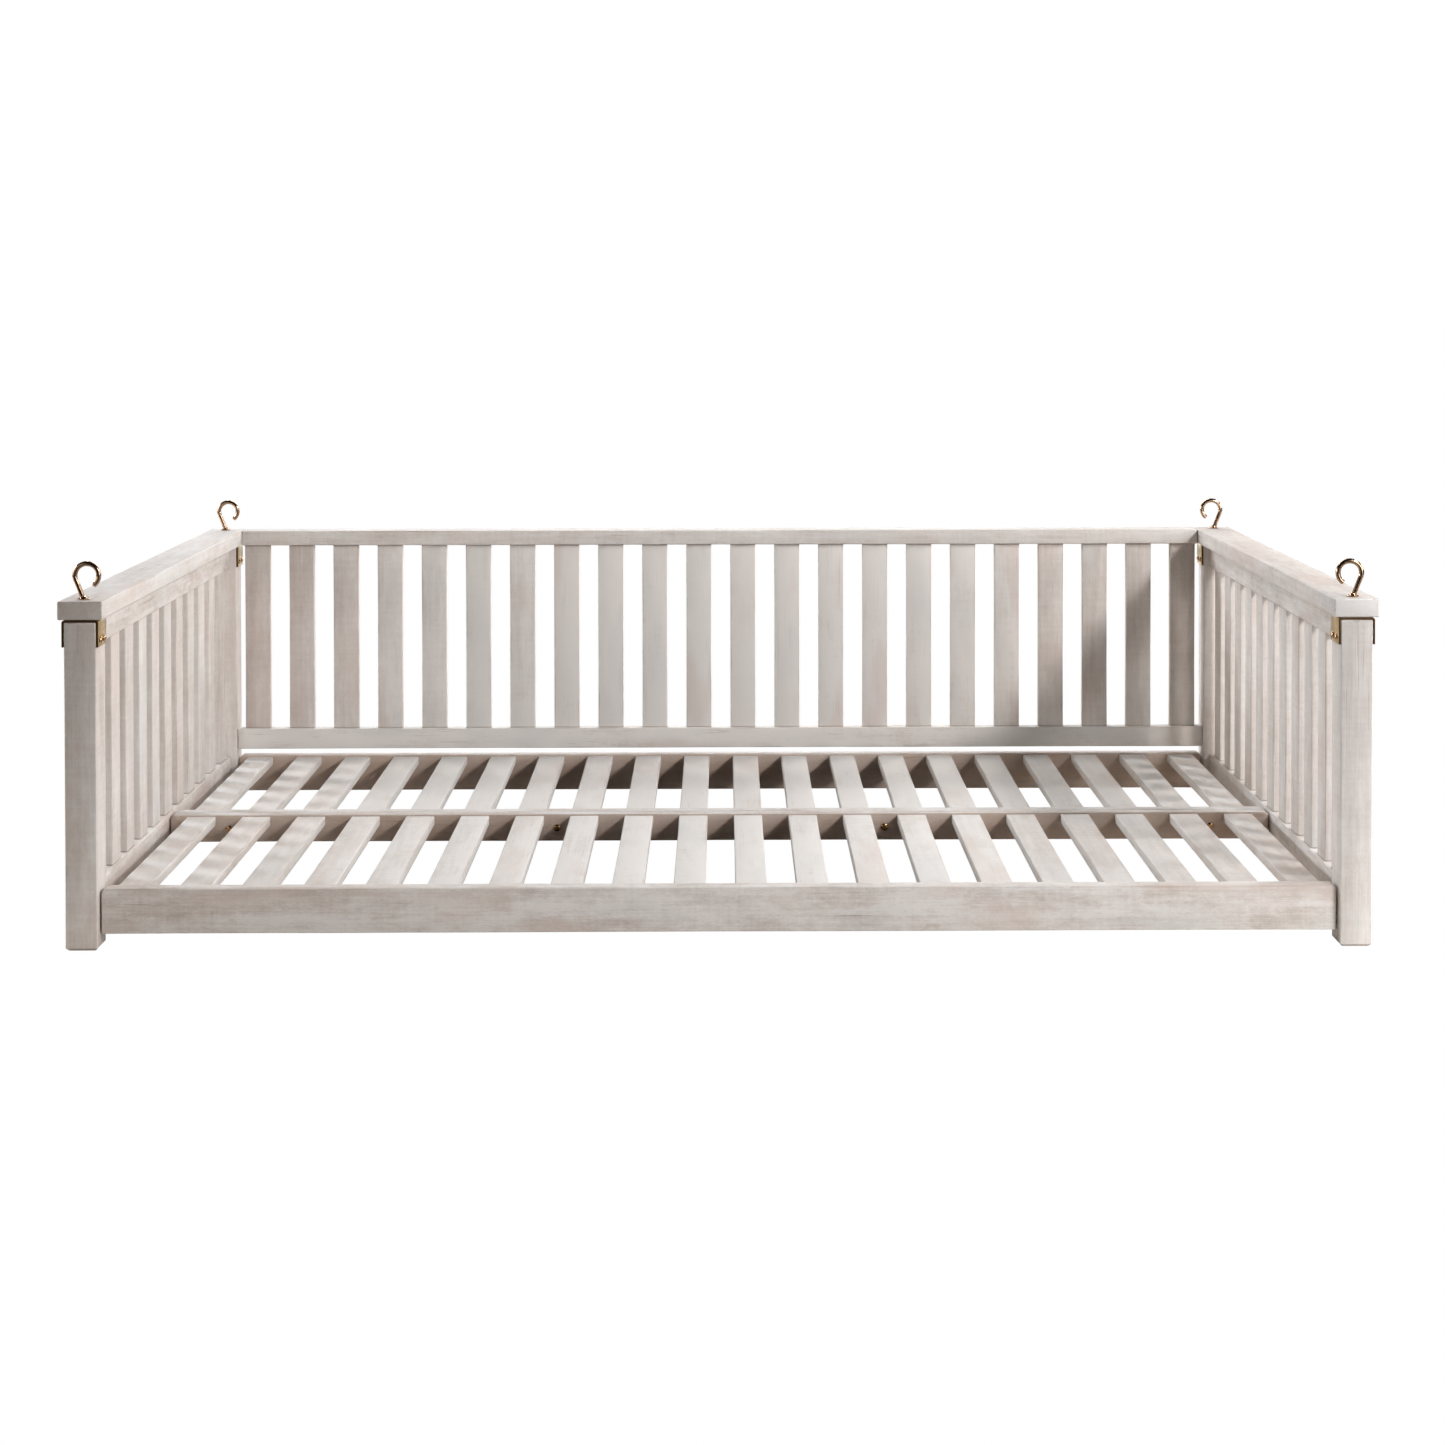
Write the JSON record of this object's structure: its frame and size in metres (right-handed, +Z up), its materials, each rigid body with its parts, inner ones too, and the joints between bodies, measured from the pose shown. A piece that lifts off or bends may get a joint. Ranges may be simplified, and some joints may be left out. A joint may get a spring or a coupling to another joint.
{
  "type": "porch swing bed frame",
  "caption": "Slatted wooden daybed frame for a twin mattress, open at the front, with a metal saddle bracket and an open hook over each post for hanging it as a porch swing.",
  "frame": {"origin": "on the floor under the middle of the frame: midway between the arm boards' outer edges and between their ends, at the level of the feet", "axes": "+X to the right of someone facing the open front, +Y from the open front to the back panel, +Z up"},
  "size_m": [2.043, 1.09, 0.601],
  "materials": {
    "post_wood": "whitewashed, weathered solid wood",
    "board_wood": "whitewashed, weathered solid wood",
    "rail_wood": "whitewashed, weathered solid wood",
    "slat_wood": "whitewashed, weathered solid wood",
    "brass_bracket": "polished, lightly aged",
    "brass_hook": "polished, lightly aged",
    "brass_bolt": "polished",
    "steel_bolt": "zinc plated",
    "zinc_nut": "zinc plated"
  },
  "bodies": {
    "root": {"back_bottom_rail": "rail_wood", "back_left_barrel_nut": "zinc_nut", "back_left_bolt": "steel_bolt", "back_right_barrel_nut": "zinc_nut", "back_right_bolt": "steel_bolt", "back_slats": "slat_wood", "back_top_board": "board_wood", "deck_centre_front_rail": "rail_wood", "deck_centre_left_barrel_nut": "zinc_nut", "deck_centre_left_bolt": "steel_bolt", "deck_centre_rear_rail": "rail_wood", "deck_centre_right_barrel_nut": "zinc_nut", "deck_centre_right_bolt": "steel_bolt", "deck_front_left_barrel_nut": "zinc_nut", "deck_front_left_bolt": "steel_bolt", "deck_front_rail": "rail_wood", "deck_front_right_barrel_nut": "zinc_nut", "deck_front_right_bolt": "steel_bolt", "deck_front_slats": "slat_wood", "deck_rear_left_barrel_nut": "zinc_nut", "deck_rear_left_bolt": "steel_bolt", "deck_rear_rail": "rail_wood", "deck_rear_right_barrel_nut": "zinc_nut", "deck_rear_right_bolt": "steel_bolt", "deck_rear_slats": "slat_wood", "front_left_bracket": "brass_bracket", "front_left_post": "post_wood", "front_right_bracket": "brass_bracket", "front_right_post": "post_wood", "left_arm_board": "board_wood", "left_lower_rail": "rail_wood", "left_side_slats": "slat_wood", "left_upper_rail": "rail_wood", "rear_left_bracket": "brass_bracket", "rear_left_post": "post_wood", "rear_right_bracket": "brass_bracket", "rear_right_post": "post_wood", "right_arm_board": "board_wood", "right_lower_rail": "rail_wood", "right_side_slats": "slat_wood", "right_upper_rail": "rail_wood", "seam_bolt_1": "brass_bolt", "seam_bolt_2": "brass_bolt", "seam_bolt_3": "brass_bolt", "seam_bolt_4": "brass_bolt", "seam_nut_1": "zinc_nut", "seam_nut_2": "zinc_nut", "seam_nut_3": "zinc_nut", "seam_nut_4": "zinc_nut"},
    "front_left_hook_swivel": {"front_left_hook": "brass_hook", "front_left_hook_nut": "zinc_nut"},
    "front_right_hook_swivel": {"front_right_hook": "brass_hook", "front_right_hook_nut": "zinc_nut"},
    "rear_left_hook_swivel": {"rear_left_hook": "brass_hook", "rear_left_hook_nut": "zinc_nut"},
    "rear_right_hook_swivel": {"rear_right_hook": "brass_hook", "rear_right_hook_nut": "zinc_nut"}
  },
  "joints": [
    {"name": "front_left_hook_turn", "type": "hinge", "parent": "root", "child": "front_left_hook_swivel", "pos_m": [-0.9865, -0.52, 0.541], "axis": [0, 0, 1], "continuous": true},
    {"name": "front_right_hook_turn", "type": "hinge", "parent": "root", "child": "front_right_hook_swivel", "pos_m": [0.9865, -0.52, 0.541], "axis": [0, 0, 1], "continuous": true},
    {"name": "rear_left_hook_turn", "type": "hinge", "parent": "root", "child": "rear_left_hook_swivel", "pos_m": [-0.9865, 0.52, 0.541], "axis": [0, 0, 1], "continuous": true},
    {"name": "rear_right_hook_turn", "type": "hinge", "parent": "root", "child": "rear_right_hook_swivel", "pos_m": [0.9865, 0.52, 0.541], "axis": [0, 0, 1], "continuous": true}
  ]
}
